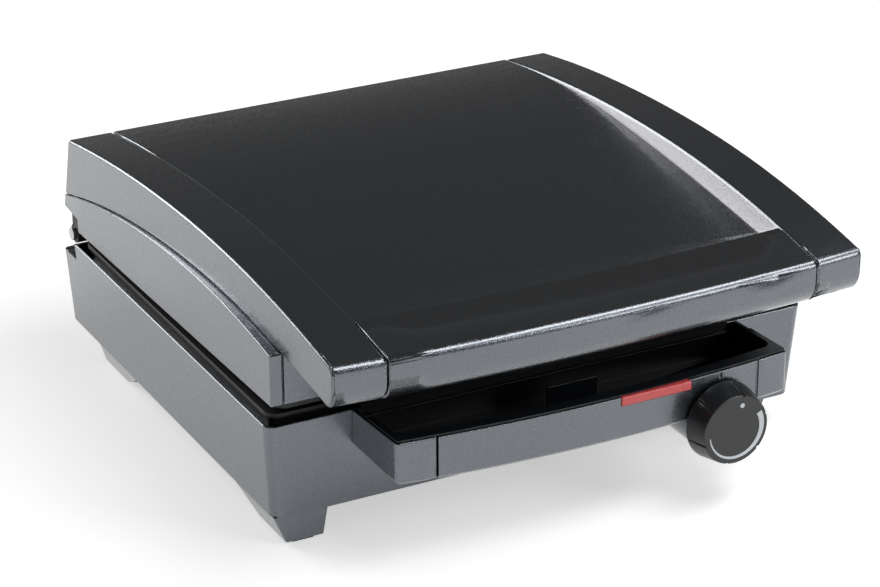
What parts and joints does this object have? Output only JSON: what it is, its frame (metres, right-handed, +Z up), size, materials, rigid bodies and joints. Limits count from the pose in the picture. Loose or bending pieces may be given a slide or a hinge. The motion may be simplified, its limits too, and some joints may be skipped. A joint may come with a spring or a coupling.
{
  "type": "sandwich maker",
  "caption": "Countertop sandwich maker with an arched hinged lid, ribbed cooking plates, a front console with a tipping drip tray, a pilot light and a turning thermostat knob.",
  "frame": {"origin": "on the floor, under the middle of the whole box", "axes": "+X to the right seen from the front, +Y to the hinges at the back, +Z up"},
  "size_m": [0.344, 0.3884, 0.1537],
  "materials": {
    "base_housing": "anthracite metallic-flake lacquer over the moulded housing",
    "base_rear_wall": "anthracite metallic-flake lacquer",
    "foot_legs": "anthracite metallic-flake lacquer",
    "front_console": "anthracite metallic-flake lacquer",
    "base_bottom_cover": "matt black",
    "rubber_feet": "matt",
    "bottom_cover_screws": "zinc plated",
    "control_panel": "silver-grey metallic-flake lacquer",
    "pilot_lens": "translucent red",
    "pilot_lamp": "clear tube",
    "thermostat_body": "plain",
    "thermostat_shaft": "turned",
    "control_knob": "satin black with a pale printed mark",
    "drip_tray": "satin black",
    "lower_plate": "dark non-stick coating",
    "upper_plate": "dark non-stick coating",
    "lower_plate_screws": "zinc plated",
    "upper_plate_screws": "zinc plated",
    "lower_heating_element": "heat-dulled",
    "upper_heating_element": "heat-dulled",
    "lower_reflector": "aluminised",
    "upper_reflector": "aluminised",
    "lower_element_clamps": "zinc plated",
    "upper_element_clamps": "zinc plated",
    "lid_middle_panel": "dark anthracite metallic-flake lacquer",
    "lid_right_strip": "anthracite metallic-flake lacquer",
    "lid_left_strip": "anthracite metallic-flake lacquer",
    "lid_frame": "anthracite metallic-flake lacquer",
    "hinge_bracket_left": "black",
    "hinge_bracket_right": "black",
    "hinge_pins": "plain",
    "hinge_arm_left": "black",
    "hinge_arm_right": "black",
    "cord_gland": "black",
    "terminal_block": "cream",
    "thermal_cutout": "brown"
  },
  "bodies": {
    "base": {"base_housing": "base_housing", "base_rear_wall": "base_rear_wall", "foot_legs": "foot_legs", "front_console": "front_console", "base_bottom_cover": "base_bottom_cover", "rubber_feet": "rubber_feet", "bottom_cover_screws": "bottom_cover_screws", "control_panel": "control_panel", "pilot_lens": "pilot_lens", "pilot_lamp": "pilot_lamp", "thermostat_body": "thermostat_body", "lower_plate": "lower_plate", "lower_plate_screws": "lower_plate_screws", "lower_heating_element": "lower_heating_element", "lower_reflector": "lower_reflector", "lower_element_clamps": "lower_element_clamps", "hinge_bracket_left": "hinge_bracket_left", "hinge_bracket_right": "hinge_bracket_right", "hinge_pins": "hinge_pins", "cord_gland": "cord_gland", "terminal_block": "terminal_block", "thermal_cutout": "thermal_cutout"},
    "lid": {"lid_middle_panel": "lid_middle_panel", "lid_right_strip": "lid_right_strip", "lid_left_strip": "lid_left_strip", "lid_frame": "lid_frame", "upper_plate": "upper_plate", "upper_plate_screws": "upper_plate_screws", "upper_heating_element": "upper_heating_element", "upper_reflector": "upper_reflector", "upper_element_clamps": "upper_element_clamps", "hinge_arm_left": "hinge_arm_left", "hinge_arm_right": "hinge_arm_right"},
    "knob": {"control_knob": "control_knob", "thermostat_shaft": "thermostat_shaft"},
    "tray": {"drip_tray": "drip_tray"}
  },
  "joints": [
    {"name": "lid_hinge", "type": "hinge", "parent": "base", "child": "lid", "pos_m": [0, 0.17974, 0.077], "axis": [-1, 0, 0], "range_deg": [0, 98]},
    {"name": "knob_turn", "type": "hinge", "parent": "base", "child": "knob", "pos_m": [0.078, -0.17926, 0.0505], "axis": [0, 1, 0], "range_deg": [-13.5, 294.5]},
    {"name": "tray_tip", "type": "hinge", "parent": "base", "child": "tray", "pos_m": [0, -0.11806, 0.0714], "axis": [-1, 0, 0], "range_deg": [0, 20]}
  ]
}
